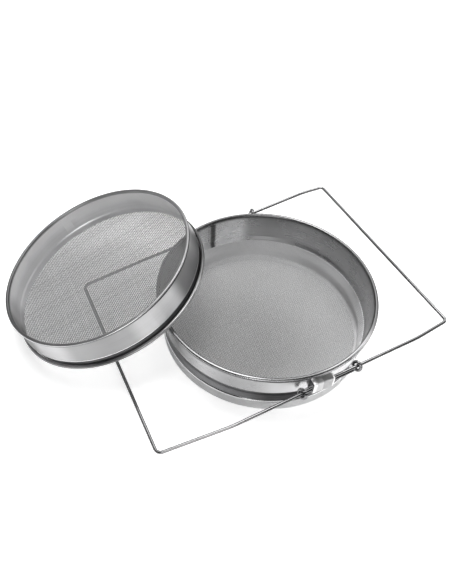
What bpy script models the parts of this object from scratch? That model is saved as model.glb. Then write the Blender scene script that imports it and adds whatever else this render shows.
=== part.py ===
# Double honey strainer with telescoping wire arms.
# The fine strainer stands on its mesh bowl, the coarse strainer is taken out and leans on its rim.
# Metres, +Z up. The origin is the centre of the fine bowl's underside. The arms' legs run along X.

import bpy
import bmesh
import numpy as np
from math import ceil, cos, degrees, hypot, pi, radians, sin, tan
from mathutils import Matrix, Vector

# General
seat_gap = 0.0003           # gap between pieces that touch
sheet = 0.0006              # thickness of the strainer bands
ring_steps = 64             # facets round every ring
curl_edge = -125            # where the curl's free edge ends, degrees round its section
curl_steps = 8
curl_wire_sides = 6
clamp_sides = 8
corner_steps = 3            # bowl corner
bend_facets = 6             # each corner of a wire frame
neck_ease = ((0.18, 0.32), (0.82, 0.74))    # shares in and down, from the wall's foot to the neck

# Fine strainer, heights measured down from the centre of its rim
fine_height = 0.066         # rim centre to the underside of the bowl
fine_rim_radius = 0.1227    # outside of the curled rim
fine_curl = 0.0024          # radius of the curled rim's section
fine_wall_depth = 0.0275    # where the wall turns into the neck
fine_wall_inset = 0.0060    # middle of the sheet at that depth, in from the outside of the rim
fine_neck_depth = 0.0375    # where the neck is at its narrowest
fine_neck_inset = 0.0027    # middle of the sheet in the neck, in from the wall's foot
fine_clamp_depth = 0.0480   # depth of the clamp ring's centre
fine_clamp_radius = 0.0019  # radius of the clamp ring's section
fine_clamp_proud = 0.0013   # outside of the clamp ring, out from the neck
fine_cloth = 0.0010         # thickness of the fine wire cloth
fine_bulge = 0.0031         # how far the bowl widens between the clamp ring and its floor
fine_corner = 0.0055        # radius between the bowl's side and floor
fine_pitch = 0.0185         # spacing of the floor's bars
fine_bar = 0.0026           # width of the floor's bars

# Coarse strainer, heights measured down from the centre of its rim
coarse_rim_radius = 0.1106
coarse_curl = 0.0020
coarse_wall_depth = 0.0265
coarse_wall_inset = 0.0002
coarse_neck_depth = 0.0300
coarse_clamp_depth = 0.0352
coarse_clamp_radius = 0.0019
coarse_clamp_proud = 0.0035     # outside of the clamp ring, out from the wall's foot
coarse_tuck = 0.0008        # how far sheet and cloth reach below the clamp ring's centre
coarse_cloth = 0.0012
coarse_pitch = 0.0165
coarse_bar = 0.0024
lean_centre = (-0.1651, 0.0953)     # centre of the coarse rim, seen from above
lean_azimuth = 158.4                # direction in which the coarse strainer's axis leans, degrees
least_lean = 3                      # the lean is searched for between these two, degrees
most_lean = 60

# Lap seams, as a strip on the outside of each band
seam_width = 0.0110
seam_proud = 0.0005
fine_seam_angle = 108.0     # round the fine band, degrees from +X
coarse_seam_angle = -73.0   # round the coarse band

# Arms
wire_radius = 0.00175
wire_gap = 0.00055          # running clearance between a wire and what it slides in
leg_pitch = 0.0050          # height between the two arms' legs
arm_depth = 0.0153          # bracket centre below the fine rim
arm_tilt = 9.7              # the pair of arms rests tipped down at the left, degrees
leg_clear = 0.0019          # extra space between the legs and the wall, for the eyes
eye_turn = 295.0            # how far an eye closes, degrees
eye_tilt = 30.0             # lean of an eye's ring from square on the wire it runs on, degrees
eye_facing = (0.0, 0.61, 0.79)      # outwards and up, the side to which the rings lean
eye_bend = 0.0060           # along the leg, from the start of the bend to the middle of the ring
eye_steps = 18
bend_steps = 5

# Each arm, measured along the legs from the bracket's centre: the crossbar is bent a little askew
left_arm = {"eye": 0.0360, "toe_start": 0.1000, "corner": 0.0065,
            "front_reach": 0.1783, "front_toe": 0.0070, "rear_reach": 0.1785, "rear_toe": 0.0025}
right_arm = {"eye": 0.0155, "toe_start": 0.1150, "corner": 0.0045,
             "front_reach": 0.1535, "front_toe": 0.0040, "rear_reach": 0.1390, "rear_toe": 0.0035}

# Brackets
bracket_width = 0.0240
bracket_shift = 0.0015      # the brackets sit this far to the right of the middle
bracket_sheet = 0.0012
bracket_fold = 0.0006       # inside radius of a fold
bracket_foot = 0.0034
bracket_head = 0.0008       # space between the rim's underside and the upper foot


def clear_scene():
    for item in list(bpy.data.objects):
        bpy.data.objects.remove(item, do_unlink=True)


def steel(name, colour, roughness, metallic=1.0):
    material = bpy.data.materials.new(name)
    material.use_nodes = True
    shader = material.node_tree.nodes["Principled BSDF"]
    shader.inputs["Base Color"].default_value = (*colour, 1.0)
    shader.inputs["Roughness"].default_value = roughness
    shader.inputs["Metallic"].default_value = metallic
    material.diffuse_color = (*colour, 1.0)
    return material


def add_object(name, mesh, material, parent=None):
    item = bpy.data.objects.new(name, mesh)
    bpy.context.collection.objects.link(item)
    item.parent = parent
    mesh.materials.append(material)
    return item


def mesh_from(name, form, smooth=True):
    bmesh.ops.recalc_face_normals(form, faces=form.faces)
    mesh = bpy.data.meshes.new(name)
    form.to_mesh(mesh)
    form.free()
    if smooth:
        mesh.shade_smooth()
        mesh.set_sharp_from_angle(angle=radians(40))
    return mesh


def arc(centre, radius, start, end, steps):
    """Points along an arc in the (radius, height) plane, angles in degrees."""
    angles = [radians(start + (end - start) * i / steps) for i in range(steps + 1)]
    return [(centre[0] + radius * cos(a), centre[1] + radius * sin(a)) for a in angles]


def ring_section(centre, radius, sides):
    """Closed profile of a round wire that is bent into a ring."""
    return arc(centre, radius, 0, 360 - 360 / sides, sides - 1)


def offset_line(points, distance):
    """The line moved sideways by the distance, to the right of its direction, corners mitred."""
    moved = []
    last = len(points) - 1
    for i, point in enumerate(points):
        here = Vector(point)
        arriving = (here - Vector(points[i - 1])).normalized() if i > 0 else None
        leaving = (Vector(points[i + 1]) - here).normalized() if i < last else arriving
        arriving = arriving or leaving
        along = (arriving + leaving).normalized()
        reach = distance / max(along.dot(leaving), 0.5)
        moved.append((here.x + along.y * reach, here.y - along.x * reach))
    return moved


def rounded_line(points, radius, steps):
    """The line with an arc of the radius at each of its corners."""
    line = [points[0]]
    for before, corner, after in zip(points, points[1:], points[2:]):
        here = Vector(corner)
        into = (Vector(before) - here).normalized()
        out = (Vector(after) - here).normalized()
        half = into.angle(out) / 2
        setback = radius / tan(half)
        middle = here + (into + out).normalized() * radius / sin(half)
        first = (here + into * setback - middle).normalized()
        final = (here + out * setback - middle).normalized()
        for i in range(steps + 1):
            point = middle + first.slerp(final, i / steps) * radius
            line.append((point.x, point.y))
    line.append(points[-1])
    return line


def turned(name, profile):
    """A ring or dish turned round Z from a closed profile of (radius, height) points."""
    form = bmesh.new()
    corners = [form.verts.new((r, 0.0, z)) for r, z in profile]
    edges = []
    for i, corner in enumerate(corners):
        if profile[i - 1][0] > 0.0 or profile[i][0] > 0.0:
            edges.append(form.edges.new((corners[i - 1], corner)))
    bmesh.ops.spin(form, geom=corners + edges, cent=(0, 0, 0), axis=(0, 0, 1), angle=2 * pi,
                   steps=ring_steps, use_merge=True, use_duplicate=False)
    bmesh.ops.remove_doubles(form, verts=form.verts, dist=0.000001)
    return mesh_from(name, form)


def box_form(form, low, high):
    size = [h - l for l, h in zip(low, high)]
    middle = [(h + l) / 2 for l, h in zip(low, high)]
    place = Matrix.Translation(middle) @ Matrix.Diagonal((*size, 1.0))
    bmesh.ops.create_cube(form, size=1.0, matrix=place)


def cut(item, cutter, operation="DIFFERENCE"):
    cutter.hide_render = True
    cutter.display_type = "WIRE"
    modifier = item.modifiers.new(cutter.name, "BOOLEAN")
    modifier.operation = operation
    modifier.solver = "EXACT"
    modifier.object = cutter


class Band:
    """Sizes of one strainer's band, its curl, neck and clamp ring."""

    def __init__(self, rim_radius, curl, wall_depth, wall_foot, neck_depth, neck, neck_end,
                 clamp_depth, clamp_radius, clamp_outer):
        self.curl = curl
        self.bend = curl - sheet / 2
        self.curl_centre = rim_radius - curl
        self.wall_top = self.curl_centre - self.bend
        self.wall_depth = wall_depth
        self.wall_foot = wall_foot
        self.neck_depth = neck_depth
        self.neck = neck
        self.neck_end = neck_end
        self.clamp_depth = clamp_depth
        self.clamp_radius = clamp_radius
        self.clamp_centre = clamp_outer - clamp_radius
        self.cloth_radius = self.clamp_centre - clamp_radius - seat_gap

    def wall_outer(self, depth):
        """Outside radius of the straight wall at a depth below the rim."""
        return self.wall_top + (self.wall_foot - self.wall_top) * depth / self.wall_depth + sheet / 2

    def sheet_line(self):
        """Middle line of the sheet, from the curl's free end to the end of the neck."""
        line = arc((self.curl_centre, 0.0), self.bend, curl_edge, 180, curl_steps)
        line.append((self.wall_foot, -self.wall_depth))
        drop = self.neck_depth - self.wall_depth
        for share_in, share_down in neck_ease:
            line.append((self.wall_foot + (self.neck - self.wall_foot) * share_in,
                         -self.wall_depth - drop * share_down))
        line.append((self.neck, -self.neck_depth))
        line.append((self.neck, -self.neck_end))
        return line

    def band_mesh(self, name):
        line = self.sheet_line()
        inner = offset_line(line, -sheet / 2)
        outer = offset_line(line, sheet / 2)
        return turned(name, inner + outer[::-1])

    def rim_wire_mesh(self, name):
        radius = self.bend - sheet / 2 - seat_gap
        return turned(name, ring_section((self.curl_centre, 0.0), radius, curl_wire_sides))

    def clamp_mesh(self, name):
        centre = (self.clamp_centre, -self.clamp_depth)
        return turned(name, ring_section(centre, self.clamp_radius, clamp_sides))


# The fine clamp ring sits under the neck's edge, the coarse one round the outside of it
fine_wall_foot = fine_rim_radius - fine_wall_inset
fine_neck_radius = fine_wall_foot - fine_neck_inset
fine_clamp_outer = fine_neck_radius + fine_clamp_proud
coarse_wall_foot = coarse_rim_radius - coarse_wall_inset
coarse_clamp_outer = coarse_wall_foot + coarse_clamp_proud
fine = Band(fine_rim_radius, fine_curl, fine_wall_depth, fine_wall_foot, fine_neck_depth,
            fine_neck_radius, fine_clamp_depth - fine_clamp_radius - seat_gap,
            fine_clamp_depth, fine_clamp_radius, fine_clamp_outer)
coarse_neck_radius = coarse_clamp_outer - 2 * coarse_clamp_radius - seat_gap - sheet / 2
coarse = Band(coarse_rim_radius, coarse_curl, coarse_wall_depth, coarse_wall_foot,
              coarse_neck_depth, coarse_neck_radius, coarse_clamp_depth + coarse_tuck,
              coarse_clamp_depth, coarse_clamp_radius, coarse_clamp_outer)
coarse_cloth_radius = coarse_neck_radius - sheet / 2 - seat_gap


def add_seam(item, band, angle, top_depth, foot_depth, parent):
    """The lap seam: the sheet's end shows as a thin strip on the outside of the wall."""
    half = degrees(seam_width / 2 / band.wall_top)
    form = bmesh.new()
    top = band.wall_outer(top_depth)
    foot = band.wall_outer(foot_depth)
    profile = [(top - sheet / 2, -top_depth), (top + seam_proud, -top_depth),
               (foot + seam_proud, -foot_depth), (foot - sheet / 2, -foot_depth)]
    corners = [form.verts.new((r, 0.0, z)) for r, z in profile]
    face = form.faces.new(corners)
    bmesh.ops.rotate(form, verts=corners, cent=(0, 0, 0),
                     matrix=Matrix.Rotation(radians(angle - half), 3, "Z"))
    bmesh.ops.spin(form, geom=[face], cent=(0, 0, 0), axis=(0, 0, 1), angle=radians(2 * half),
                   steps=3)
    strip = bpy.data.objects.new(item.name + "_seam_form", mesh_from(item.name + "_seam", form, False))
    bpy.context.collection.objects.link(strip)
    strip.parent = parent
    cut(item, strip, "UNION")


def bar_net(name, radius, pitch, bar, low, high, parent):
    """Square openings of a net, as one cutter: bars cross at the centre of the disc."""
    form = bmesh.new()
    half = (pitch - bar) / 2
    count = ceil(radius / pitch)
    made = 0
    for i in range(-count, count):
        for j in range(-count, count):
            x = (i + 0.5) * pitch
            y = (j + 0.5) * pitch
            if hypot(abs(x) + half, abs(y) + half) > radius:
                continue
            box_form(form, (x - half, y - half, low), (x + half, y + half, high))
            made += 1
    cutter = bpy.data.objects.new(name, mesh_from(name, form, False))
    bpy.context.collection.objects.link(cutter)
    cutter.parent = parent
    print(name, made, "gaps")
    return cutter


def make_fine_strainer():
    origin = bpy.data.objects.new("fine_rim_centre", None)
    bpy.context.collection.objects.link(origin)
    origin.location = (0, 0, fine_height)

    band = add_object("fine_band", fine.band_mesh("fine_band"),
                      steel("fine_band", (0.72, 0.72, 0.73), 0.24), origin)
    add_seam(band, fine, fine_seam_angle, fine.curl + bracket_head, fine_wall_depth - 0.001, origin)
    add_object("fine_rim_wire", fine.rim_wire_mesh("fine_rim_wire"),
               steel("fine_rim_wire", (0.60, 0.60, 0.61), 0.35), origin)
    add_object("fine_clamp_ring", fine.clamp_mesh("fine_clamp_ring"),
               steel("fine_clamp_ring", (0.78, 0.78, 0.79), 0.18), origin)

    # The cloth lies against the inside of the neck and runs down inside the clamp ring
    outer = fine.cloth_radius
    floor = -fine_height
    line = fine.sheet_line()[-4:-1]
    line += [(outer + sheet / 2 + seat_gap, -(fine.clamp_depth - fine.clamp_radius))]
    neck_side = offset_line(line, sheet / 2 + seat_gap)
    cloth_side = offset_line(line, sheet / 2 + seat_gap + fine_cloth)
    ring_foot = -(fine.clamp_depth + fine.clamp_radius)
    neck_side.append((outer, ring_foot))
    cloth_side.append((outer - fine_cloth, ring_foot))
    rim = outer + fine_bulge - fine_corner
    centre = (rim, floor + fine_corner)
    strip = neck_side + arc(centre, fine_corner, 0, -90, corner_steps)
    strip += arc(centre, fine_corner - fine_cloth, -90, 0, corner_steps) + cloth_side[::-1]
    add_object("fine_mesh_wall", turned("fine_mesh_wall", strip),
               steel("fine_mesh_wall", (0.50, 0.50, 0.51), 0.45), origin)

    rim -= seat_gap
    disc = [(0.0, floor), (rim, floor), (rim, floor + fine_cloth), (0.0, floor + fine_cloth)]
    cloth = add_object("fine_mesh_floor", turned("fine_mesh_floor", disc),
                       steel("fine_mesh_floor", (0.55, 0.55, 0.56), 0.45), origin)
    net = bar_net("fine_net_form", rim - fine_bar, fine_pitch, fine_bar,
                  floor - fine_cloth, floor + 2 * fine_cloth, origin)
    cut(cloth, net)
    return origin


def circle_points(radius, height, count):
    angles = np.linspace(0, 2 * pi, count, endpoint=False)
    return np.c_[radius * np.cos(angles), radius * np.sin(angles), np.full(count, height)]


def lean_matrix(angle):
    """Place of the coarse rim's centre when the strainer leans at the angle and meets the floor."""
    lowest = coarse.clamp_depth * cos(angle) + coarse.clamp_centre * sin(angle) + coarse.clamp_radius
    turn = Matrix.Rotation(radians(lean_azimuth), 4, "Z")
    lean = turn @ Matrix.Rotation(angle, 4, "Y") @ turn.inverted()
    return Matrix.Translation((*lean_centre, lowest + seat_gap)) @ lean


def rest_clearance(angle):
    """Least distance between the leaning coarse strainer's underside and the fine rim."""
    place = np.array(lean_matrix(angle))
    ring = circle_points(coarse.clamp_centre, -coarse.clamp_depth, 720)
    ring = ring @ place[:3, :3].T + place[:3, 3]
    rim = circle_points(fine.curl_centre, fine_height, 1440)
    near = rim[np.hypot(rim[:, 0] - ring[:, 0].mean(), rim[:, 1] - ring[:, 1].mean()) < 0.13]
    apart = np.sqrt(((ring[:, None, :] - near[None, :, :]) ** 2).sum(axis=2)).min()
    edge_gap = apart - coarse.clamp_radius - fine.curl
    local = (near - place[:3, 3]) @ place[:3, :3]
    under = np.hypot(local[:, 0], local[:, 1]) < coarse.neck
    flat_gap = (-coarse.neck_end - local[under, 2]).min() - fine.curl
    return min(edge_gap, flat_gap)


def find_lean():
    """The lean at which the coarse strainer touches both the floor and the fine rim."""
    low = radians(least_lean)
    high = radians(most_lean)
    for _ in range(40):
        middle = (low + high) / 2
        if rest_clearance(middle) < seat_gap:
            low = middle
        else:
            high = middle
    return high


def make_coarse_strainer():
    lean = find_lean()
    origin = bpy.data.objects.new("coarse_rim_centre", None)
    bpy.context.collection.objects.link(origin)
    origin.matrix_world = lean_matrix(lean)
    print("coarse strainer leans", round(degrees(lean), 4), "degrees, centre",
          [round(v, 6) for v in origin.matrix_world.translation])

    band = add_object("coarse_band", coarse.band_mesh("coarse_band"),
                      steel("coarse_band", (0.76, 0.76, 0.77), 0.22), origin)
    add_seam(band, coarse, coarse_seam_angle, coarse.curl + bracket_head, coarse_wall_depth - 0.001,
             origin)
    add_object("coarse_rim_wire", coarse.rim_wire_mesh("coarse_rim_wire"),
               steel("coarse_rim_wire", (0.60, 0.60, 0.61), 0.35), origin)
    add_object("coarse_clamp_ring", coarse.clamp_mesh("coarse_clamp_ring"),
               steel("coarse_clamp_ring", (0.80, 0.80, 0.81), 0.18), origin)
    # The cloth lies inside the neck, level with the sheet's end
    foot = -coarse.neck_end
    top = foot + coarse_cloth
    disc = [(0.0, top), (coarse_cloth_radius, top), (coarse_cloth_radius, foot), (0.0, foot)]
    cloth = add_object("coarse_mesh", turned("coarse_mesh", disc),
                       steel("coarse_mesh", (0.62, 0.62, 0.63), 0.40), origin)
    net = bar_net("coarse_net_form", coarse_cloth_radius - coarse_bar, coarse_pitch, coarse_bar,
                  foot - coarse_cloth, top + coarse_cloth, origin)
    cut(cloth, net)


leg_side = fine.wall_top + sheet / 2 + 2 * wire_gap + wire_radius + leg_clear
plate_inner = leg_side + wire_radius + wire_gap


def bracket_mesh(name):
    """A bridge plate on the +Y side: a folded strip with two feet and a flat bridge over the legs."""
    swing = tan(radians(arm_tilt)) * bracket_width / 2
    reach = leg_pitch / 2 + (wire_radius + wire_gap) / cos(radians(arm_tilt)) + swing
    half_sheet = bracket_sheet / 2
    head = -(fine.curl + bracket_head)
    upper = fine.wall_outer(-head) + seat_gap + half_sheet
    bridge = plate_inner + half_sheet
    top_fold = -(arm_depth - reach) + half_sheet
    low_fold = -(arm_depth + reach) - half_sheet
    lower = fine.wall_outer(-low_fold) + seat_gap + half_sheet
    line = [(upper, head), (upper, top_fold), (bridge, top_fold), (bridge, low_fold),
            (lower, low_fold), (lower, low_fold - bracket_foot)]
    line = rounded_line(line, half_sheet + bracket_fold, 2)
    outside = offset_line(line, -half_sheet)
    inside = offset_line(line, half_sheet)
    turn = len(line) // 2
    sunk = fine.neck
    # The feet are thickened inwards here and then cut back to the wall's curve
    profile = outside + [(sunk, outside[-1][1])]
    profile += [(sunk, low_fold + half_sheet)] + inside[turn + 3:turn - 4:-1]
    profile += [(sunk, top_fold - half_sheet), (sunk, head)]
    form = bmesh.new()
    half = bracket_width / 2
    corners = [form.verts.new((-half, y, z)) for y, z in profile]
    face = form.faces.new(corners)
    grown = bmesh.ops.extrude_face_region(form, geom=[face])
    moved = [v for v in grown["geom"] if isinstance(v, bmesh.types.BMVert)]
    bmesh.ops.translate(form, verts=moved, vec=(bracket_width, 0, 0))
    return mesh_from(name, form, False)


def make_brackets(origin):
    depth = fine_wall_depth + 0.004
    slope = (fine.wall_top - fine.wall_foot) / fine.wall_depth
    top = fine.wall_outer(0.0) + seat_gap
    foot = top - slope * depth
    for name, turn in (("front_bracket", pi), ("rear_bracket", 0.0)):
        item = add_object(name, bracket_mesh(name), steel(name, (0.85, 0.85, 0.86), 0.15), origin)
        item.rotation_euler = (0, 0, turn)
        item.location = (bracket_shift, 0, 0)
        form = bmesh.new()
        place = Matrix.Translation((0, 0, -depth / 2))
        bmesh.ops.create_cone(form, cap_ends=True, segments=ring_steps * 2, radius1=foot, radius2=top,
                              depth=depth, matrix=place)
        wall = bpy.data.objects.new(name + "_wall_form", mesh_from(name + "_wall", form, False))
        bpy.context.collection.objects.link(wall)
        wall.parent = origin
        cut(item, wall)


def eye_points(start, own, neighbour, facing):
    """Wire of a rear eye: it bends off its leg at 'start' and runs round the other arm's leg."""
    lean = radians(eye_tilt)
    radius = (2 * wire_radius + wire_gap) / cos(lean)
    normal = Vector((facing * cos(lean), 0, 0)) + Vector(eye_facing).normalized() * sin(lean)
    own_side = Vector((0.0, 0.0, 1.0 if own > neighbour else -1.0))
    first = (own_side - normal * own_side.dot(normal)).normalized()
    onward = normal.cross(first)
    if onward.x > 0:
        onward.negate()
    centre = Vector((-start - eye_bend, leg_side, neighbour))
    leg_end = Vector((-start, leg_side, own))
    ring_start = centre + first * radius
    chord = (ring_start - leg_end).length
    points = []
    for i in range(bend_steps):
        t = i / bend_steps
        leave = Vector((-chord, 0, 0)) * (t * (1 - t) ** 2)
        arrive = onward * chord * (t * t * (1 - t))
        share = t * t * (3 - 2 * t)
        points.append(leg_end.lerp(ring_start, share) + leave - arrive)
    for i in range(eye_steps + 1):
        angle = radians(eye_turn) * i / eye_steps
        points.append(centre + (first * cos(angle) + onward * sin(angle)) * radius)
    return [tuple(point) for point in points]


def arm_path(arm, own, neighbour, facing):
    """Points of one arm's wire: eye, leg, crossbar, leg, eye. The crossbar is on the +X side."""
    rear = eye_points(arm["eye"], own, neighbour, facing)
    front = [(x, -y, z) for x, y, z in reversed(rear)]
    corners = [(arm["toe_start"], -leg_side), (arm["front_reach"], arm["front_toe"] - leg_side),
               (arm["rear_reach"], leg_side - arm["rear_toe"]), (arm["toe_start"], leg_side)]
    frame = [(x, y, own) for x, y in rounded_line(corners, arm["corner"], bend_facets)]
    return front + frame + rear


def make_arm(name, arm, own, neighbour, flip):
    origin = bpy.data.objects.new(name + "_slide", None)
    bpy.context.collection.objects.link(origin)
    origin.location = (0, 0, fine_height - arm_depth)
    origin.rotation_euler = (0, -radians(arm_tilt), 0)
    curve = bpy.data.curves.new(name, "CURVE")
    curve.dimensions = "3D"
    curve.bevel_depth = wire_radius
    curve.bevel_resolution = 2
    curve.use_fill_caps = True
    curve.resolution_u = 1
    points = [(flip * x, y, z) for x, y, z in arm_path(arm, own, neighbour, -flip)]
    spline = curve.splines.new("POLY")
    spline.points.add(len(points) - 1)
    for target, point in zip(spline.points, points):
        target.co = (*point, 1.0)
    item = bpy.data.objects.new(name, curve)
    bpy.context.collection.objects.link(item)
    item.parent = origin
    curve.materials.append(steel(name, (0.70, 0.70, 0.71), 0.20))


clear_scene()
fine_origin = make_fine_strainer()
make_brackets(fine_origin)
make_coarse_strainer()
make_arm("left_arm", left_arm, -leg_pitch / 2, leg_pitch / 2, -1.0)
make_arm("right_arm", right_arm, leg_pitch / 2, -leg_pitch / 2, 1.0)
bpy.context.view_layer.update()
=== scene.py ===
from math import atan2, cos, degrees, hypot, pi, radians, sin, sqrt, tan

import bmesh
import bpy
from mathutils import Matrix, Vector


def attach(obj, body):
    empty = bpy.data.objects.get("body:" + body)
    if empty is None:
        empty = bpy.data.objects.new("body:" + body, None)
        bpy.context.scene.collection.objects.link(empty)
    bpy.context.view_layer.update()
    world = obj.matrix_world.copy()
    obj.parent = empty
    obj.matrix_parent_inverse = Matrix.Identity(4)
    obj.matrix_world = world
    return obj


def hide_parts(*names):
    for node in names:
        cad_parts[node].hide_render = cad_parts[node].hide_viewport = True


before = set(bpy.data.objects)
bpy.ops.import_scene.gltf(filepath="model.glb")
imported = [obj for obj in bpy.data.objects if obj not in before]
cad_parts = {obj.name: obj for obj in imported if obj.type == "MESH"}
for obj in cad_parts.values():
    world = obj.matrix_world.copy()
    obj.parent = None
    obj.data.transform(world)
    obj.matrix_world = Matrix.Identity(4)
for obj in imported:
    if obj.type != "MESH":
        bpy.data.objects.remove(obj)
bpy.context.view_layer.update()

print("frame loaded")

# where the two strainers stand: the origin of each is the centre of its rim
rimHeight = 0.066
leaning = {"centre": (-0.1651, 0.0953, 0.07877), "azimuth": 158.4, "angle": 23.2608}
finePlace = Matrix.Translation((0, 0, rimHeight))
leanTurn = Matrix.Rotation(radians(leaning["azimuth"]), 4, "Z")
coarsePlace = (Matrix.Translation(leaning["centre"]) @ leanTurn
               @ Matrix.Rotation(radians(leaning["angle"]), 4, "Y") @ leanTurn.inverted())
ringSteps = 240             # round every ring and band
seatGap = 0.0003            # between a rim's curl and the wire inside it


# materials

# cloud and line noise tone and roughen every finish; the pairs are shares of the noise's range
noise = {"cloud": 26.0, "cloudDetail": 3.0, "lineDetail": 4.0, "lineShare": 0.35,
         "tone": (0.45, 0.85), "rough": (0.35, 0.95), "smoothest": 0.75, "roughest": 1.35,
         "relief": 0.0002}


def finish(name, colour, roughness, grain, place, bump, smudge=0.07, lightPainted=False, metal=1.0,
           edge=1.0, slope=None, rings=None):
    # grain is how fast the noise runs along x, y and z of the piece's own frame;
    # a finish with tone values is also lightened and darkened by them; they hold painted sheen,
    # reflections and shade. slope is a direction in that frame, two distances along it and the
    # painted lightness at each, rings is a centre in it, two distances from that and the painted
    # lightness at each
    material = bpy.data.materials.new(name)
    material.use_nodes = True
    nodes = material.node_tree.nodes
    links = material.node_tree.links
    shader = nodes["Principled BSDF"]
    shader.inputs["Metallic"].default_value = metal
    shader.inputs["Specular Tint"].default_value = (edge, edge, edge, 1)
    where = nodes.new("ShaderNodeTexCoord")
    own = nodes.new("ShaderNodeMapping")
    own.vector_type = "TEXTURE"
    if place is not None:
        own.inputs["Location"].default_value = place.translation
        own.inputs["Rotation"].default_value = place.to_euler()
    links.new(where.outputs["Object"], own.inputs["Vector"])
    stretch = nodes.new("ShaderNodeMapping")
    stretch.inputs["Scale"].default_value = grain
    links.new(own.outputs["Vector"], stretch.inputs["Vector"])
    lines = nodes.new("ShaderNodeTexNoise")
    lines.inputs["Scale"].default_value = 1.0
    lines.inputs["Detail"].default_value = noise["lineDetail"]
    links.new(stretch.outputs["Vector"], lines.inputs["Vector"])
    cloud = nodes.new("ShaderNodeTexNoise")
    cloud.inputs["Scale"].default_value = noise["cloud"]
    cloud.inputs["Detail"].default_value = noise["cloudDetail"]
    links.new(own.outputs["Vector"], cloud.inputs["Vector"])
    # tone: a little darker and lighter in patches and along the drawing lines
    both = nodes.new("ShaderNodeMath")
    both.operation = "MULTIPLY_ADD"
    both.inputs[1].default_value = noise["lineShare"]
    links.new(lines.outputs["Fac"], both.inputs[0])
    links.new(cloud.outputs["Fac"], both.inputs[2])
    tone = nodes.new("ShaderNodeValToRGB")
    for element, position, scale in zip(tone.color_ramp.elements, noise["tone"],
                                        (1 - smudge, 1 + smudge)):
        element.position = position
        element.color = (*[min(1, c * scale) for c in colour], 1)
    links.new(both.outputs[0], tone.inputs["Fac"])
    # painted light: the tone values hold painted sheen, reflections and shade and scale the colour
    if lightPainted:
        painted = nodes.new("ShaderNodeAttribute")
        painted.attribute_name = "tone"
        sheen = nodes.new("ShaderNodeVectorMath")
        sheen.operation = "SCALE"
        links.new(tone.outputs["Color"], sheen.inputs["Vector"])
        links.new(painted.outputs["Fac"], sheen.inputs["Scale"])
        links.new(sheen.outputs["Vector"], shader.inputs["Base Color"])
    elif slope or rings:
        # painted light and shade: a slope or rings lighten and darken the colour across the piece
        target, low, high, lowTone, highTone = slope or rings
        facing = nodes.new("ShaderNodeVectorMath")
        facing.operation = "DOT_PRODUCT" if slope else "DISTANCE"
        facing.inputs[1].default_value = Vector(target).normalized() if slope else target
        links.new(own.outputs["Vector"], facing.inputs[0])
        spread = nodes.new("ShaderNodeMapRange")
        spread.interpolation_type = "SMOOTHSTEP"
        for socket, value in zip(("From Min", "From Max", "To Min", "To Max"),
                                 (low, high, lowTone, highTone)):
            spread.inputs[socket].default_value = value
        links.new(facing.outputs["Value"], spread.inputs["Value"])
        sheen = nodes.new("ShaderNodeVectorMath")
        sheen.operation = "SCALE"
        links.new(tone.outputs["Color"], sheen.inputs["Vector"])
        links.new(spread.outputs["Result"], sheen.inputs["Scale"])
        links.new(sheen.outputs["Vector"], shader.inputs["Base Color"])
    else:
        links.new(tone.outputs["Color"], shader.inputs["Base Color"])
    rough = nodes.new("ShaderNodeMapRange")
    for socket, value in zip(("From Min", "From Max", "To Min", "To Max"),
                             (*noise["rough"], roughness * noise["smoothest"],
                              roughness * noise["roughest"])):
        rough.inputs[socket].default_value = value
    links.new(both.outputs[0], rough.inputs["Value"])
    links.new(rough.outputs["Result"], shader.inputs["Roughness"])
    relief = nodes.new("ShaderNodeBump")
    relief.inputs["Strength"].default_value = bump
    relief.inputs["Distance"].default_value = noise["relief"]
    links.new(lines.outputs["Fac"], relief.inputs["Height"])
    links.new(relief.outputs["Normal"], shader.inputs["Normal"])
    return material


rolledGrain = (5, 5, 700)       # hairlines that run round a band
drawnGrain = (12, 900, 900)     # hairlines that run along X, for the wires
# the rolled sheets and polished beads take painted sheen, reflections and shade from their tone
# values
rolledFine = finish("rolledSheetFine", (0.54, 0.54, 0.545), 0.26, rolledGrain, finePlace, 0.12,
                    lightPainted=True)
rolledCoarse = finish("rolledSheetCoarse", (0.60, 0.60, 0.605), 0.36, rolledGrain, coarsePlace,
                      0.12, lightPainted=True, metal=0.85)
# painted shade: dark finishes for the fold under the curl and the neck; their tone values lighten
# them in places, into a painted highlight beside the front bracket
creaseShadeFine = finish("paintedShadeFine", (0.08, 0.08, 0.082), 0.30, rolledGrain, finePlace, 0.12, 0.20,
                    lightPainted=True, edge=0.4)
creaseShadeCoarse = finish("paintedShadeCoarse", (0.08, 0.08, 0.082), 0.30, rolledGrain, coarsePlace, 0.12,
                      0.20, lightPainted=True, edge=0.4)
polishedFine = finish("polishedBeadFine", (0.66, 0.66, 0.665), 0.12, rolledGrain, finePlace, 0.05,
                      lightPainted=True)
polishedCoarse = finish("polishedBeadCoarse", (0.55, 0.55, 0.554), 0.16, rolledGrain, coarsePlace,
                        0.05, lightPainted=True, metal=0.4)
# painted highlight: the plate's colour is near white, so that it shows as brightly lit
foldedPlate = finish("foldedPlate", (0.98, 0.98, 0.98), 0.35, (600, 600, 20), None, 0.1, 0.01,
                     metal=0.7)
drawnWire = finish("drawnWire", (0.24, 0.24, 0.243), 0.14, drawnGrain, None, 0.10, edge=0.35)
# painted light and shade: the floor cloth is darker round a spot left of its middle and lighter
# towards its edge
fineCloth = finish("fineCloth", (0.31, 0.31, 0.312), 0.48, (60, 60, 60), finePlace, 0.1, 0.04,
                   metal=0.25, rings=((-0.045, -0.010, -0.066), 0.03, 0.145, 1.08, 2.0))
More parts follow.
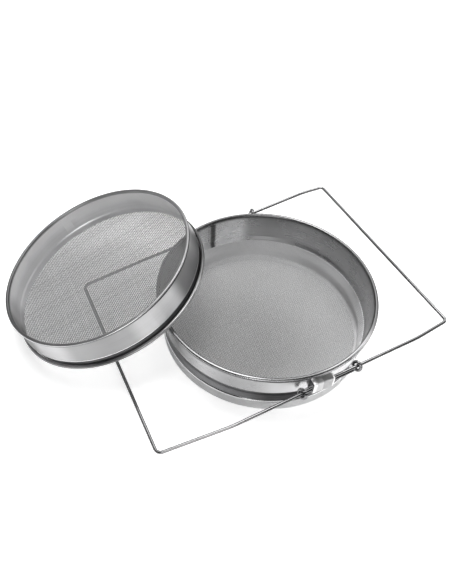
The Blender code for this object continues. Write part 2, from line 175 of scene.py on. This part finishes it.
# painted light: the wall cloth grows lighter towards the front right
wallCloth = finish("wallCloth", (0.78, 0.78, 0.785), 0.50, (60, 60, 60), finePlace, 0.1, 0.04,
                   metal=0.45, slope=((0.45, -0.9, 0), 0.06, 0.112, 0.95, 1.25))
coarseCloth = finish("coarseCloth", (0.36, 0.36, 0.363), 0.48, (60, 60, 60), coarsePlace, 0.1, 0.05,
                     metal=0.4)
print("materials ready")


# helpers

weldReach = 0.000001
nearlyStraight = 89.8       # half the angle at a corner that is not worth rounding


def arc(centre, radius, start, end, steps):
    turns = [radians(start + (end - start) * i / steps) for i in range(steps + 1)]
    return [(centre[0] + radius * cos(a), centre[1] + radius * sin(a)) for a in turns]


def moveSideways(line, distance):
    # to the right of the line's direction, with mitred corners
    moved = []
    for i, point in enumerate(line):
        here = Vector(point)
        arriving = (here - Vector(line[i - 1])).normalized() if i else None
        leaving = (Vector(line[i + 1]) - here).normalized() if i < len(line) - 1 else arriving
        arriving = arriving or leaving
        along = (arriving + leaving).normalized()
        reach = distance / max(along.dot(leaving), 0.5)
        moved.append((here.x + along.y * reach, here.y - along.x * reach))
    return moved


def roundCorners(line, radii, steps):
    # one radius for all the corners, or one for each
    rounded = [line[0]]
    if isinstance(radii, float):
        radii = [radii] * (len(line) - 2)
    for before, corner, after, radius in zip(line, line[1:], line[2:], radii):
        here = Vector(corner)
        into = (Vector(before) - here).normalized()
        out = (Vector(after) - here).normalized()
        half = into.angle(out) / 2
        if half > radians(nearlyStraight):
            rounded.append(corner)
            continue
        middle = here + (into + out).normalized() * radius / sin(half)
        first = (here + into * radius / tan(half) - middle).normalized()
        final = (here + out * radius / tan(half) - middle).normalized()
        rounded += [tuple(middle + first.slerp(final, i / steps) * radius)
                    for i in range(steps + 1)]
    return rounded + [line[-1]]


def addPiece(name, form, material, body, place, stands=None, sharp=35):
    # sharp is the angle in degrees above which an edge is not shaded smooth
    bmesh.ops.transform(form, matrix=place, verts=form.verts)
    bmesh.ops.remove_doubles(form, verts=form.verts, dist=weldReach)
    bmesh.ops.recalc_face_normals(form, faces=form.faces)
    mesh = bpy.data.meshes.new(name)
    form.to_mesh(mesh)
    form.free()
    mesh.shade_smooth()
    mesh.set_sharp_from_angle(angle=radians(sharp))
    mesh.materials.append(material)
    piece = bpy.data.objects.new(name, mesh)
    bpy.context.collection.objects.link(piece)
    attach(piece, body)
    if stands:
        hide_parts(stands)
    return piece


def spinProfile(profile, turn=2 * pi, steps=ringSteps, start=0.0):
    form = bmesh.new()
    corners = [form.verts.new((r, 0, z)) for r, z in profile]
    if turn < 2 * pi:
        form.faces.new(corners)
    else:
        for i in range(len(corners)):
            form.edges.new((corners[i - 1], corners[i]))
    bmesh.ops.rotate(form, verts=form.verts, matrix=Matrix.Rotation(start, 3, "Z"))
    bmesh.ops.spin(form, geom=form.faces[:] + form.edges[:] + form.verts[:], axis=(0, 0, 1),
                   angle=turn, steps=steps, use_merge=turn >= 2 * pi)
    return form


# bands: curl, wall, neck and lip

# radii are measured from the axis and depths down from the curl's middle; painted shade lies in
# the neck from neckTop to neckLow; a sheen table is keyed by azimuth in degrees and scales the
# finish's colour with painted sheen, reflections and shade, and innerTop scales the inside's once
# more at its top
fineBand = {
    "rimRadius": 0.1227, "curl": 0.0024, "sheet": 0.0006, "wallDepth": 0.0275, "wallFoot": 0.1167,
    "neckDepth": 0.0375, "neck": 0.1140, "neckEnd": 0.0458, "clampDepth": 0.0480,
    "clampRadius": 0.0019, "clampOuter": 0.1153, "neckTop": 0.0290, "neckLow": 0.0440,
    "outerSheen": ((-172, 0.17), (-160, 0.7), (-150, 0.85), (-136, 0.65), (-124, 0.72),
                   (-112, 1.0), (-92, 1.45), (-68, 1.45), (-60, 0.8), (-54, 0.18), (-49, 0.18),
                   (-42, 1.7), (-28, 1.8), (0, 0.7), (130, 0.7), (150, 0.3)),
    "innerSheen": ((20, 0.80), (44, 1.0), (62, 0.78), (72, 0.9), (80, 1.75), (94.4, 1.75),
                   (95.6, 0.25), (97.6, 0.25), (98.8, 1.3), (104, 1.6), (114, 0.8), (128, 0.65),
                   (140, 0.42), (152, 0.3), (250, 0.3), (300, 0.9), (330, 0.85), (360, 0.80)),
    "beadSheen": ((-150, 1.0), (-128, 0.8), (-112, 0.4), (-100, 0.5), (-85, 1.4), (-55, 1.4)),
    "footSheen": ((-180, 1.0), (180, 1.0)), "innerTop": 0.8,
    "rimSheen": ((-140, 0.45), (-125, 0.5), (-114, 0.3), (-96, 0.4), (-80, 0.9), (-62, 0.8),
                 (-45, 0.3), (40, 0.4), (70, 0.25), (130, 0.4)),
    "creaseSheen": ((-160, 3.0), (-145, 2.6), (-130, 2.2), (-114, 0.9), (-96, 1.0), (-84, 5.0),
                    (-60, 5.0), (-48, 1.5), (0, 1.0)),
    "place": finePlace, "body": "fine_strainer",
}
coarseBand = {
    "rimRadius": 0.1106, "curl": 0.0020, "sheet": 0.0006, "wallDepth": 0.0265, "wallFoot": 0.1104,
    "neckDepth": 0.0300, "neck": 0.1095, "neckEnd": 0.0360, "clampDepth": 0.0352,
    "clampRadius": 0.0019, "clampOuter": 0.1139, "neckTop": 0.0275, "neckLow": 0.0345,
    "outerSheen": ((-158, 0.32), (-146, 0.95), (-134, 1.05), (-122, 0.62), (-104, 0.52),
                   (-92, 0.58), (-82, 0.92), (-70, 1.25), (-61, 1.5), (-50, 0.5), (-38, 0.45),
                   (-26, 0.65), (-14, 0.26), (-4, 0.9), (6, 2.5), (30, 2.0)),
    "innerSheen": ((30, 1.8), (52, 1.45), (86, 1.5), (100, 1.35), (128, 1.4), (156, 1.4),
                   (170, 0.9), (184, 0.3), (196, 0.9), (212, 1.7), (228, 0.8), (242, 0.5),
                   (254, 0.5), (330, 1.6)),
    "beadSheen": ((-160, 0.65), (-130, 0.65), (-112, 0.3), (-80, 0.5), (-62, 0.8), (-48, 0.6),
                  (-30, 0.3), (-20, 0.14), (5, 0.12), (25, 0.4)),
    "creaseSheen": ((-160, 5.0), (-140, 5.0), (-112, 3.4), (-85, 2.2), (-60, 1.0), (-20, 0.9),
                    (5, 0.8), (25, 1.2)),
    "footSheen": ((-60, 1.0), (-45, 0.8), (-30, 0.4), (0, 0.5), (20, 0.8)), "innerTop": 1.6,
    "rimSheen": ((-175, 0.2), (-150, 0.35), (-125, 0.5), (-90, 0.6), (-60, 0.5), (40, 0.55),
                 (85, 0.6), (115, 0.26), (180, 0.2)),
    "place": coarsePlace, "body": "coarse_strainer",
}


def wallTop(band):
    return band["rimRadius"] - 2 * band["curl"] + band["sheet"] / 2


def wallOuter(band, depth):
    return (wallTop(band) + (band["wallFoot"] - wallTop(band)) * depth / band["wallDepth"]
            + band["sheet"] / 2)


# rows keep the wall's painted sheen apart from the rim's, as shares of its depth; the neck's
# curve is two shares inwards and down
rolled = {"turn": (-125, 180), "turnSteps": 26, "wallStart": 0.0005,
          "rows": (0.13, 0.4, 0.7, 1.0), "neckCurve": ((0.18, 0.32), (0.82, 0.74)),
          "bend": 0.0012, "bendSteps": 5}


def sheetLine(band):
    # middle of the sheet from the curl's free edge down to the end of the neck
    bend = band["curl"] - band["sheet"] / 2
    line = arc((band["rimRadius"] - band["curl"], 0), bend, *rolled["turn"], rolled["turnSteps"])
    foot, neck = band["wallFoot"], band["neck"]
    drop = band["neckDepth"] - band["wallDepth"]
    top, fall = wallTop(band), foot - wallTop(band)
    lower = [(top, -rolled["wallStart"])] + [(top + fall * share, -band["wallDepth"] * share)
                                             for share in rolled["rows"]]
    for shareIn, shareDown in rolled["neckCurve"]:
        lower.append((foot + (neck - foot) * shareIn, -band["wallDepth"] - drop * shareDown))
    lower += [(neck, -band["neckDepth"]), (neck, -band["neckEnd"])]
    return line + roundCorners(lower, rolled["bend"], rolled["bendSteps"])[1:]


def between(keys, at):
    # value of a table keyed by azimuth, eased from one key to the next and once round
    start = keys[0][0]
    at = start + (at - start) % 360
    for (low, first), (high, second) in zip(keys, [*keys[1:], (start + 360, keys[0][1])]):
        if low <= at < high:
            share = (at - low) / (high - low)
            return first + (second - first) * share * share * (3 - 2 * share)
    return keys[0][1]


def paintLightTone(piece, place, value):
    # writes painted light and shade as one tone value for each point; value is given the azimuth
    # in degrees, the height and whether the spot faces outwards
    back = place.inverted()
    turn = back.to_3x3()
    layer = piece.data.attributes.new("tone", "FLOAT", "POINT")
    tones = []
    for vertex in piece.data.vertices:
        spot = back @ vertex.co
        away = (turn @ vertex.normal).dot(Vector((spot.x, spot.y, 0)).normalized())
        tones.append(value(degrees(atan2(spot.y, spot.x)), spot.z, away > 0))
    layer.data.foreach_set("value", tones)


# fold and rim, and the low and high ends of the painted shade under the curl, are heights in
# curls from the curl's middle; that painted shade is wallGap sheets or more outside the wall's
# top, and the neck's faces outwards by neckFacing or more
painted = {"innerDepth": 0.016, "fold": 0.6, "rim": 0.8, "shadeLow": 1.3, "shadeHigh": 0.5,
           "wallGap": 0.6, "neckFacing": 0.1}


def paintSheenAndShade(piece, band):
    # painted sheen, reflections and shade, which change round the wall and from its rim to its foot
    curl = band["curl"]

    def sheen(azimuth, height, outside):
        if outside and (abs(height) < painted["fold"] * curl or height < -band["wallDepth"]):
            return between(band["creaseSheen"], azimuth)
        if height > -painted["rim"] * curl:
            return between(band["rimSheen"], azimuth)
        if not outside:
            rise = 1 + (band["innerTop"] - 1) * max(0.0, 1 + height / painted["innerDepth"])
            return between(band["innerSheen"], azimuth) * rise
        fall = between(band["footSheen"], azimuth)
        return between(band["outerSheen"], azimuth) * (1 + (fall - 1) * -height / band["wallDepth"])

    paintLightTone(piece, band["place"], sheen)


def makeBand(name, band, material, crease):
    line = sheetLine(band)
    profile = moveSideways(line, -band["sheet"] / 2) + moveSideways(line, band["sheet"] / 2)[::-1]
    piece = addPiece(name + "Sheet", spinProfile(profile), material, band["body"], band["place"],
                     name + "_band")
    paintSheenAndShade(piece, band)
    # painted shade: faces in the fold under the curl and in the neck take the dark second finish
    piece.data.materials.append(crease)
    back = band["place"].inverted()
    for face in piece.data.polygons:
        middle = back @ face.center
        out = (back.to_3x3() @ face.normal).dot(Vector((middle.x, middle.y, 0)).normalized())
        radius = hypot(middle.x, middle.y)
        low, high = -painted["shadeLow"] * band["curl"], painted["shadeHigh"] * band["curl"]
        underCurl = (low < middle.z < high
                     and radius > wallTop(band) + painted["wallGap"] * band["sheet"])
        inNeck = band["neckTop"] < -middle.z < band["neckLow"] and out > painted["neckFacing"]
        if underCurl or inNeck:
            face.material_index = 1


ringShape = {"wireSides": 10, "beadSides": 20, "sharp": 60}


def makeRing(name, centre, radius, sides, material, band, node):
    profile = arc(centre, radius, 0, 360 - 360 / sides, sides - 1)
    piece = addPiece(name, spinProfile(profile), material, band["body"], band["place"], node,
                     ringShape["sharp"])
    # painted sheen and shade on the ring, keyed by azimuth
    paintLightTone(piece, band["place"],
              lambda azimuth, height, outside: between(band["beadSheen"], azimuth))


# a lap starts its top's curls below the curl's middle and ends at its foot's share of the wall
lap = {"width": 0.0105, "thick": 0.00045, "top": 1.1, "foot": 0.97, "steps": 6}


def makeLap(name, band, angle, inside, material):
    # the sheet's end, which shows as a thin strip along the wall
    top = wallTop(band)
    side = -1 if inside else 1
    face = side * band["sheet"] / 2
    foot = band["wallDepth"] * lap["foot"]
    upper = (top + face, -band["curl"] * lap["top"])
    lower = (wallOuter(band, foot) - band["sheet"] / 2 + face, -foot)
    profile = [upper, lower, (lower[0] + side * lap["thick"], lower[1]),
               (upper[0] + side * lap["thick"], upper[1])]
    turn = lap["width"] / top
    form = spinProfile(profile, turn, lap["steps"], radians(angle) - turn / 2)
    piece = addPiece(name, form, material, band["body"], band["place"])
    paintSheenAndShade(piece, band)


# each lap's band and azimuth in degrees, whether it lies inside, and its finish
laps = {
    "fineLap": (fineBand, 97, True, rolledFine),
    "coarseLap": (coarseBand, -73, False, rolledCoarse),
    "coarseLapFar": (coarseBand, 97, True, rolledCoarse),
}

for name, band, material, crease, bead in (
        ("fine", fineBand, rolledFine, creaseShadeFine, polishedFine),
        ("coarse", coarseBand, rolledCoarse, creaseShadeCoarse, polishedCoarse)):
    makeBand(name, band, material, crease)
    curlCentre = band["rimRadius"] - band["curl"]
    makeRing(name + "RimWire", (curlCentre, 0), band["curl"] - band["sheet"] - seatGap,
             ringShape["wireSides"], drawnWire, band, name + "_rim_wire")
    makeRing(name + "Clamp", (band["clampOuter"] - band["clampRadius"], -band["clampDepth"]),
             band["clampRadius"], ringShape["beadSides"], bead, band, name + "_clamp_ring")
for name, settings in laps.items():
    makeLap(name, *settings)
print("bands made")


# woven cloth: every wire passes over and under the wires that cross it

clothFine = {"radius": 0.1084, "pitch": 0.0015, "wire": 0.00090, "height": 0.0006 - rimHeight}
clothCoarse = {"radius": 0.1090, "pitch": 0.0018, "wire": 0.00084, "height": -0.0354}
# the line of the wall's upper part is given as radius and height above the table
clothWall = {"radius": 0.1138, "corner": 0.0050, "ribs": 480, "rings": 33, "wire": 0.00105,
             "floor": 0.0006, "cornerSteps": 16,
             "top": ((0.1133, 0.0302), (0.1132, 0.0285), (0.1107, 0.0199), (0.1107, 0.0161))}


def wireCurve(name, material, roundness=0):
    # a full bevel depth leaves each wire's thickness to the radius of its points
    curve = bpy.data.curves.new(name, "CURVE")
    curve.dimensions = "3D"
    curve.fill_mode = "FULL"
    curve.bevel_depth = 1.0
    curve.bevel_resolution = roundness
    curve.resolution_u = 1
    curve.materials.append(material)
    return curve


def placeWire(curve, body, node):
    piece = bpy.data.objects.new(curve.name, curve)
    bpy.context.collection.objects.link(piece)
    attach(piece, body)
    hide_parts(node)


def addWire(curve, points, radius, closed=False):
    # each point carries the wire's radius, so the curve's own box stays tight
    spline = curve.splines.new("POLY")
    spline.points.add(len(points) - 1)
    spline.points.foreach_set("radius", [radius] * len(points))
    spline.points.foreach_set("co", [c for p in points for c in (*p, 1.0)])
    spline.use_cyclic_u = closed


def weaveDisc(name, cloth, band, material, node):
    count = int(cloth["radius"] / cloth["pitch"])
    place = band["place"] @ Matrix.Translation((0, 0, cloth["height"]))
    for direction in ("Warp", "Weft"):
        curve = wireCurve(name + direction, material)
        placeWire(curve, band["body"], node)
        for row in range(-count, count + 1):
            offset = row * cloth["pitch"]
            edge = sqrt(cloth["radius"] ** 2 - offset ** 2)
            reach = int(edge / cloth["pitch"])
            if reach < 1:
                continue
            # the wires are cut off at the disc's edge
            stops = [(step * cloth["pitch"], (-1) ** (row + step))
                     for step in range(-reach, reach + 1)]
            points = []
            for along, over in [(-edge, 0), *stops, (edge, 0)]:
                lift = cloth["wire"] * 0.5 * over
                here = (along, offset, lift) if direction == "Warp" else (offset, along, -lift)
                points.append(place @ Vector(here))
            addWire(curve, points, cloth["wire"] / 2)


def weaveWall(cloth, place, material):
    # evenly spaced stations down the side and round the corner, each with a ring wire
    radius, corner, floor, wire = (cloth[key] for key in ("radius", "corner", "floor", "wire"))
    side = [*cloth["top"], (radius, floor + corner)]
    line = side + arc((radius - corner, floor + corner), corner, 0, -90, cloth["cornerSteps"])[1:]
    lengths = [0.0]
    for a, b in zip(line, line[1:]):
        lengths.append(lengths[-1] + hypot(b[0] - a[0], b[1] - a[1]))
    stations = []
    for k in range(cloth["rings"]):
        want = lengths[-1] * k / (cloth["rings"] - 1)
        i = max(j for j in range(len(line) - 1) if lengths[j] <= want + 1e-9)
        share = (want - lengths[i]) / (lengths[i + 1] - lengths[i])
        a, b = Vector(line[i]), Vector(line[i + 1])
        along = (b - a).normalized()
        stations.append((a.lerp(b, share), Vector((-along.y, along.x))))
    ribs, rings = (wireCurve(name, material) for name in ("fineWallRibs", "fineWallRings"))
    placeWire(ribs, "fine_strainer", "fine_mesh_wall")
    placeWire(rings, "fine_strainer", "fine_mesh_wall")
    base = place @ Matrix.Translation((0, 0, -rimHeight))

    def at(k, i, sign):
        point, normal = stations[k]
        moved = point + normal * wire * 0.5 * sign * (-1) ** (k + i)
        angle = 2 * pi * i / cloth["ribs"]
        return base @ Vector((moved.x * cos(angle), moved.x * sin(angle), moved.y))

    for i in range(cloth["ribs"]):
        addWire(ribs, [at(k, i, 1) for k in range(cloth["rings"])], wire / 2)
    for k in range(cloth["rings"]):
        addWire(rings, [at(k, i, -1) for i in range(cloth["ribs"])], wire / 2, True)


weaveDisc("fineFloor", clothFine, fineBand, fineCloth, "fine_mesh_floor")
weaveDisc("coarseCloth", clothCoarse, coarseBand, coarseCloth, "coarse_mesh")
weaveWall(clothWall, finePlace, wallCloth)
print("cloth woven")


# arms: each is one wire, with a leg and an eye at the front and at the rear; wire is its radius

arms = {
    "wire": 0.00175, "gap": 0.00055, "legPitch": 0.0050, "depth": 0.0153, "tilt": 9.7,
    "clear": 0.0019, "eyeTurn": 295.0, "eyeTilt": 30.0, "eyeBend": 0.0060,
    "eyeFacing": (0, 0.61, 0.79), "toeBend": 0.12, "lead": 0.02, "bendSteps": 12, "eyeSteps": 48,
    "cornerSteps": 14, "roundness": 5,
    "left": {"eye": 0.0360, "toeStart": 0.1000, "corner": 0.0065, "frontReach": 0.1783,
             "frontToe": 0.0070, "rearReach": 0.1785, "rearToe": 0.0025},
    "right": {"eye": 0.0155, "toeStart": 0.1150, "corner": 0.0045, "frontReach": 0.1535,
              "frontToe": 0.0040, "rearReach": 0.1390, "rearToe": 0.0035},
}
# how far a leg's middle lies from the strainer's axis and above or below the pair's middle
legSide = wallTop(fineBand) + fineBand["sheet"] / 2 + 2 * arms["gap"] + arms["wire"] + arms["clear"]
legOffset = arms["legPitch"] / 2


def eyeLine(start, own, neighbour, facing):
    # off the leg, then a ring round the other arm's leg that leans outwards and up
    lean = radians(arms["eyeTilt"])
    radius = (2 * arms["wire"] + arms["gap"]) / cos(lean)
    normal = Vector((facing * cos(lean), 0, 0)) + Vector(arms["eyeFacing"]).normalized() * sin(lean)
    ownSide = Vector((0, 0, 1 if own > neighbour else -1))
    first = (ownSide - normal * ownSide.dot(normal)).normalized()
    onward = normal.cross(first)
    if onward.x > 0:
        onward.negate()
    centre = Vector((-start - arms["eyeBend"], legSide, neighbour))
    legEnd = Vector((-start, legSide, own))
    ringStart = centre + first * radius
    chord = (ringStart - legEnd).length
    points = []
    for i in range(arms["bendSteps"]):
        t = i / arms["bendSteps"]
        pull = Vector((-chord, 0, 0)) * (t * (1 - t) ** 2) - onward * chord * (t * t * (1 - t))
        points.append(tuple(legEnd.lerp(ringStart, t * t * (3 - 2 * t)) + pull))
    for i in range(arms["eyeSteps"] + 1):
        angle = radians(arms["eyeTurn"]) * i / arms["eyeSteps"]
        points.append(tuple(centre + (first * cos(angle) + onward * sin(angle)) * radius))
    return points


def makeArm(name, arm, own, neighbour, flip, body):
    place = (Matrix.Translation((0, 0, rimHeight - arms["depth"]))
             @ Matrix.Rotation(-radians(arms["tilt"]), 4, "Y"))
    rear = eyeLine(arm["eye"], own, neighbour, -flip)
    front = [(x, -y, z) for x, y, z in reversed(rear)]
    straight = arm["toeStart"] - arms["lead"]
    corners = [(straight, -legSide), (arm["toeStart"], -legSide),
               (arm["frontReach"], arm["frontToe"] - legSide),
               (arm["rearReach"], legSide - arm["rearToe"]), (arm["toeStart"], legSide),
               (straight, legSide)]
    bends = [arms["toeBend"], arm["corner"], arm["corner"], arms["toeBend"]]
    bow = [(x, y, own) for x, y in roundCorners(corners, bends, arms["cornerSteps"])]
    curve = wireCurve(name, drawnWire, arms["roundness"])
    curve.use_fill_caps = True
    addWire(curve, [place @ Vector((flip * x, y, z)) for x, y, z in front + bow + rear],
            arms["wire"])
    placeWire(curve, body, body)


makeArm("leftArmWire", arms["left"], -legOffset, legOffset, -1, "left_arm")
makeArm("rightArmWire", arms["right"], legOffset, -legOffset, 1, "right_arm")
print("arms bent")


# brackets: a folded strip, its feet follow the wall

bracket = {"width": 0.0240, "sheet": 0.0012, "fold": 0.0006, "foot": 0.0034, "head": 0.0008,
           "gap": 0.0002, "shift": 0.0015, "steps": 10, "foldSteps": 5, "edge": 0.0002, "ridge": 60}


def makeBracket(name, turn, node):
    thin = bracket["sheet"] / 2
    swing = tan(radians(arms["tilt"])) * bracket["width"] / 2
    reach = legOffset + (arms["wire"] + arms["gap"]) / cos(radians(arms["tilt"])) + swing
    head = -(fineBand["curl"] + bracket["head"])
    plateInner = legSide + arms["wire"] + arms["gap"]
    topFold = -(arms["depth"] - reach) + thin
    lowFold = -(arms["depth"] + reach) - thin
    upper = wallOuter(fineBand, -head) + bracket["gap"] + thin
    lower = wallOuter(fineBand, -lowFold) + bracket["gap"] + thin
    line = [(upper, head), (upper, topFold), (plateInner + thin, topFold),
            (plateInner + thin, lowFold), (lower, lowFold), (lower, lowFold - bracket["foot"])]
    line = roundCorners(line, thin + bracket["fold"], bracket["foldSteps"])
    profile = moveSideways(line, -thin) + moveSideways(line, thin)[::-1]
    form = bmesh.new()
    face = form.faces.new([form.verts.new((-bracket["width"] / 2, y, z)) for y, z in profile])
    step = bracket["width"] / bracket["steps"]
    for _ in range(bracket["steps"]):
        grown = bmesh.ops.extrude_face_region(form, geom=[face])
        face = [g for g in grown["geom"] if isinstance(g, bmesh.types.BMFace)][0]
        bmesh.ops.translate(form, verts=face.verts, vec=(step, 0, 0))
    # the feet lie against the round wall, the bridge stays flat
    for v in form.verts:
        sag = upper - sqrt(upper ** 2 - v.co.x ** 2)
        share = max(0.0, min(1.0, (plateInner - v.co.y) / (plateInner - upper)))
        v.co.y -= sag * share
    ends = [e for e in form.edges
            if len(e.link_faces) == 2 and e.calc_face_angle() > radians(bracket["ridge"])]
    bmesh.ops.bevel(form, geom=ends, offset=bracket["edge"], offset_type="OFFSET", segments=2,
                    profile=0.5, material=-1, affect="EDGES")
    place = (finePlace @ Matrix.Translation((bracket["shift"], 0, 0))
             @ Matrix.Rotation(turn, 4, "Z"))
    addPiece(name, form, foldedPlate, "fine_strainer", place, node)


makeBracket("frontBracketPlate", pi, "front_bracket")
makeBracket("rearBracketPlate", 0, "rear_bracket")
print("brackets folded")


# floor, light and camera

# seen and mirrored are how much the table glows for the camera and in the steel
whiteTable = {"half": 6, "drop": 0.0005, "colour": 0.93, "roughness": 0.9, "shine": 0.1,
              "seen": 0.54, "mirrored": 0.45}


def makeStage():
    form = bmesh.new()
    bmesh.ops.create_grid(form, x_segments=1, y_segments=1, size=whiteTable["half"])
    bmesh.ops.translate(form, verts=form.verts, vec=(0, 0, -whiteTable["drop"]))
    mesh = bpy.data.meshes.new("tableTop")
    form.to_mesh(mesh)
    form.free()
    table = bpy.data.objects.new("tableTop", mesh)
    bpy.context.collection.objects.link(table)
    material = bpy.data.materials.new("whiteTable")
    material.use_nodes = True
    nodes = material.node_tree.nodes
    links = material.node_tree.links
    shader = nodes["Principled BSDF"]
    shader.inputs["Base Color"].default_value = (*[whiteTable["colour"]] * 3, 1)
    shader.inputs["Roughness"].default_value = whiteTable["roughness"]
    shader.inputs["Specular IOR Level"].default_value = whiteTable["shine"]
    rays = nodes.new("ShaderNodeLightPath")
    mirrored = nodes.new("ShaderNodeMath")
    mirrored.operation = "MULTIPLY"
    mirrored.inputs[1].default_value = whiteTable["mirrored"]
    links.new(rays.outputs["Is Glossy Ray"], mirrored.inputs[0])
    lift = nodes.new("ShaderNodeMath")
    lift.operation = "MULTIPLY_ADD"
    lift.inputs[1].default_value = whiteTable["seen"]
    links.new(rays.outputs["Is Camera Ray"], lift.inputs[0])
    links.new(mirrored.outputs[0], lift.inputs[2])
    shader.inputs["Emission Color"].default_value = (1, 1, 1, 1)
    links.new(lift.outputs[0], shader.inputs["Emission Strength"])
    mesh.materials.append(material)


# a direction, then pairs of where and how bright: 0 is opposite that direction, 1 straight at it
glows = {
    "room": ((0, 0, 1), ((0.0, 0.10), (0.5, 0.12), (0.72, 0.25), (1.0, 0.35))),
    "screen": ((0.33, 0.60, 0.72), ((0.0, 0.0), (0.94, 0.0), (0.975, 1.0), (1.0, 1.0))),
    "shade": ((-0.38, -0.70, 0.60), ((0.0, 1.0), (0.72, 1.0), (0.90, 0.10), (1.0, 0.06))),
}
screenPower = 2.2


def makeWorld():
    # a dim room, a broad bright screen beyond the object and darkness behind the camera
    world = bpy.data.worlds.new("studio")
    bpy.context.scene.world = world
    world.use_nodes = True
    nodes = world.node_tree.nodes
    links = world.node_tree.links
    back = nodes["Background"]
    where = nodes.new("ShaderNodeTexCoord")

    def glow(direction, stops):
        facing = nodes.new("ShaderNodeVectorMath")
        facing.operation = "DOT_PRODUCT"
        facing.inputs[1].default_value = Vector(direction).normalized()
        links.new(where.outputs["Generated"], facing.inputs[0])
        spread = nodes.new("ShaderNodeMapRange")
        spread.inputs["From Min"].default_value = -1.0
        links.new(facing.outputs["Value"], spread.inputs["Value"])
        ramp = nodes.new("ShaderNodeValToRGB")
        ramp.color_ramp.interpolation = "EASE"
        for place, _ in stops[1:-1]:
            ramp.color_ramp.elements.new(place)
        for element, (place, bright) in zip(ramp.color_ramp.elements, stops):
            element.position = place
            element.color = (bright, bright, bright, 1)
        links.new(spread.outputs["Result"], ramp.inputs["Fac"])
        return ramp.outputs["Color"]

    def join(operation, first, second):
        node = nodes.new("ShaderNodeMath")
        node.operation = operation
        for socket, value in zip(node.inputs, (first, second)):
            if isinstance(value, float):
                socket.default_value = value
            else:
                links.new(value, socket)
        return node.outputs[0]

    room, screen, shade = (glow(*glows[key]) for key in ("room", "screen", "shade"))
    dim = join("MULTIPLY", room, shade)
    bright = join("MULTIPLY", screen, screenPower)
    links.new(join("ADD", dim, bright), back.inputs["Color"])
    back.inputs["Strength"].default_value = 1.0


def addLamp(name, spot, target, size, power):
    data = bpy.data.lights.new(name, "AREA")
    data.shape = "RECTANGLE"
    data.size, data.size_y = size
    data.energy = power
    lamp = bpy.data.objects.new(name, data)
    bpy.context.collection.objects.link(lamp)
    lamp.location = spot
    lamp.rotation_mode = "QUATERNION"
    lamp.rotation_quaternion = (Vector(target) - Vector(spot)).to_track_quat("-Z", "Y")


# focal length and picture height in pixels, angles in degrees, sensor in millimetres
view = {"azimuth": -28.983, "elevation": 48.462, "roll": 5.594, "focal": 700, "height": 584,
        "sensor": 36, "spot": (-0.2905, -0.4304, 0.5729 + rimHeight)}


def makeCamera():
    azimuth, elevation, roll = (radians(view[key]) for key in ("azimuth", "elevation", "roll"))
    right = Vector((cos(azimuth), sin(azimuth), 0))
    ahead = Vector((-sin(azimuth) * cos(elevation), cos(azimuth) * cos(elevation), -sin(elevation)))
    up = right.cross(ahead)
    sideways = cos(roll) * right + sin(roll) * up
    upright = -sin(roll) * right + cos(roll) * up
    data = bpy.data.cameras.new("photoView")
    data.sensor_width = view["sensor"]
    data.lens = view["focal"] / view["height"] * view["sensor"]
    camera = bpy.data.objects.new("photoView", data)
    bpy.context.collection.objects.link(camera)
    turn = Matrix((sideways, upright, -ahead)).transposed()
    camera.matrix_world = Matrix.Translation(view["spot"]) @ turn.to_4x4()
    bpy.context.scene.camera = camera


# where each lamp stands, what it faces, its size in metres and its power in watts
lamps = {
    "overhead": ((-0.1, 0.25, 1.6), (-0.05, 0.05, 0), (0.9, 0.7), 14),
    "sideWindow": ((1.5, -0.2, 1.0), (0, 0, 0.05), (0.6, 0.6), 5),
    "frontBoard": ((-0.5, -1.3, 0.75), (0, 0, 0.05), (1.0, 0.8), 9),
}

makeStage()
makeWorld()
for name, settings in lamps.items():
    addLamp(name, *settings)
makeCamera()
bpy.context.scene.view_settings.view_transform = "Standard"
print("stage set")

print("finished")
